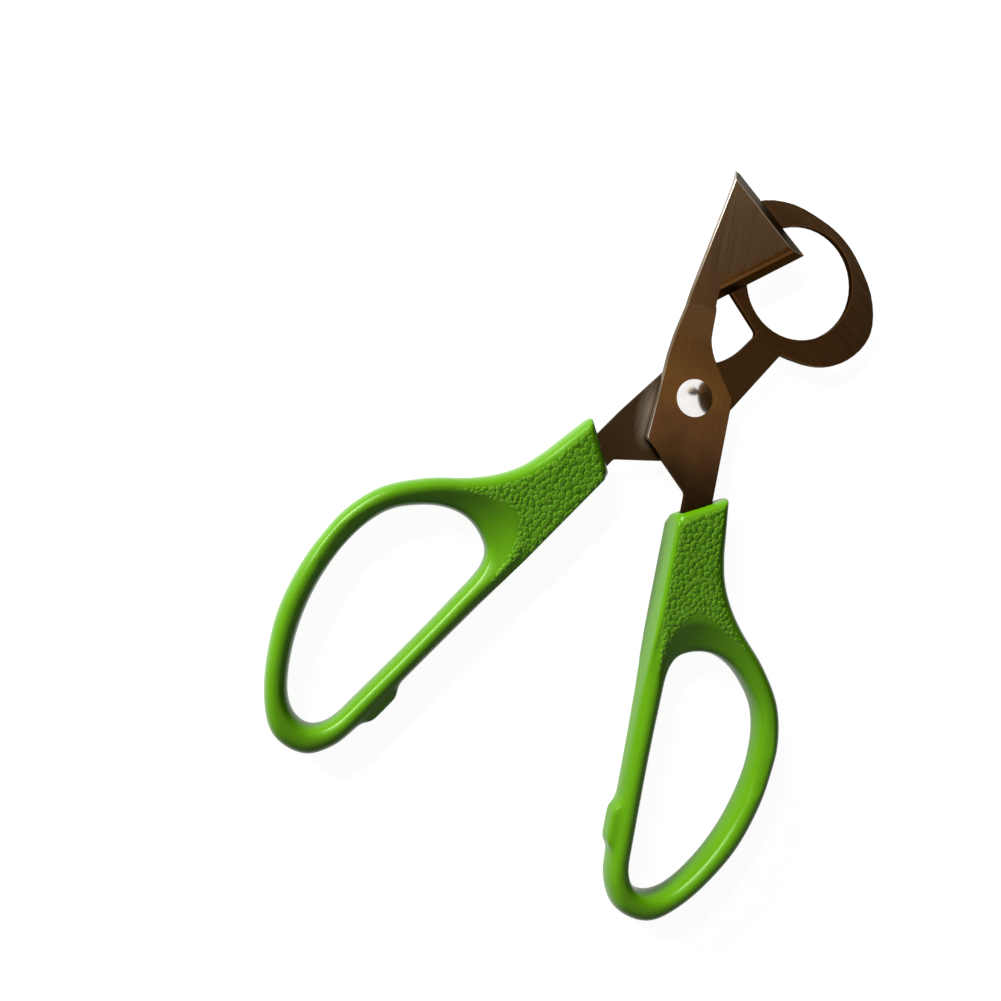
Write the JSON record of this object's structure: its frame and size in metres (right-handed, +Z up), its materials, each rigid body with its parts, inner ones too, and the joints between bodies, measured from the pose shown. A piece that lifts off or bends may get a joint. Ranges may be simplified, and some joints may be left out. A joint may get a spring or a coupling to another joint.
{
  "type": "quail egg scissors",
  "caption": "Scissors that cut the end off a small egg: a ring blade holds the egg and a hooded pointed blade swings across it, on plastic loop handles.",
  "frame": {"origin": "middle of the footprint, on the plane that the handles lie on, in millimetres scaled to metres", "axes": "+Y from the handles towards the blade heads, along the line that halves the opening; +Z up, out of the upper face; +X to the right, the side of the cutter's handle"},
  "size_m": [0.0992, 0.1366, 0.008],
  "materials": {
    "ring_blade_steel": "brushed sheet steel",
    "cutter_blade_steel": "brushed sheet steel",
    "rivet_steel": "polished",
    "handle_plastic": "glossy, with a pebbled grip"
  },
  "bodies": {
    "ring_half": {"ring_blade": "ring_blade_steel", "ring_handle": "handle_plastic", "pivot_rivet": "rivet_steel"},
    "cutter_half": {"cutter_blade": "cutter_blade_steel", "cutter_handle": "handle_plastic"}
  },
  "joints": [
    {"name": "pivot", "type": "hinge", "parent": "ring_half", "child": "cutter_half", "pos_m": [0.00038, 0.02375, 0.004], "axis": [0, 0, 1], "range_deg": [-33.5, 20]}
  ]
}
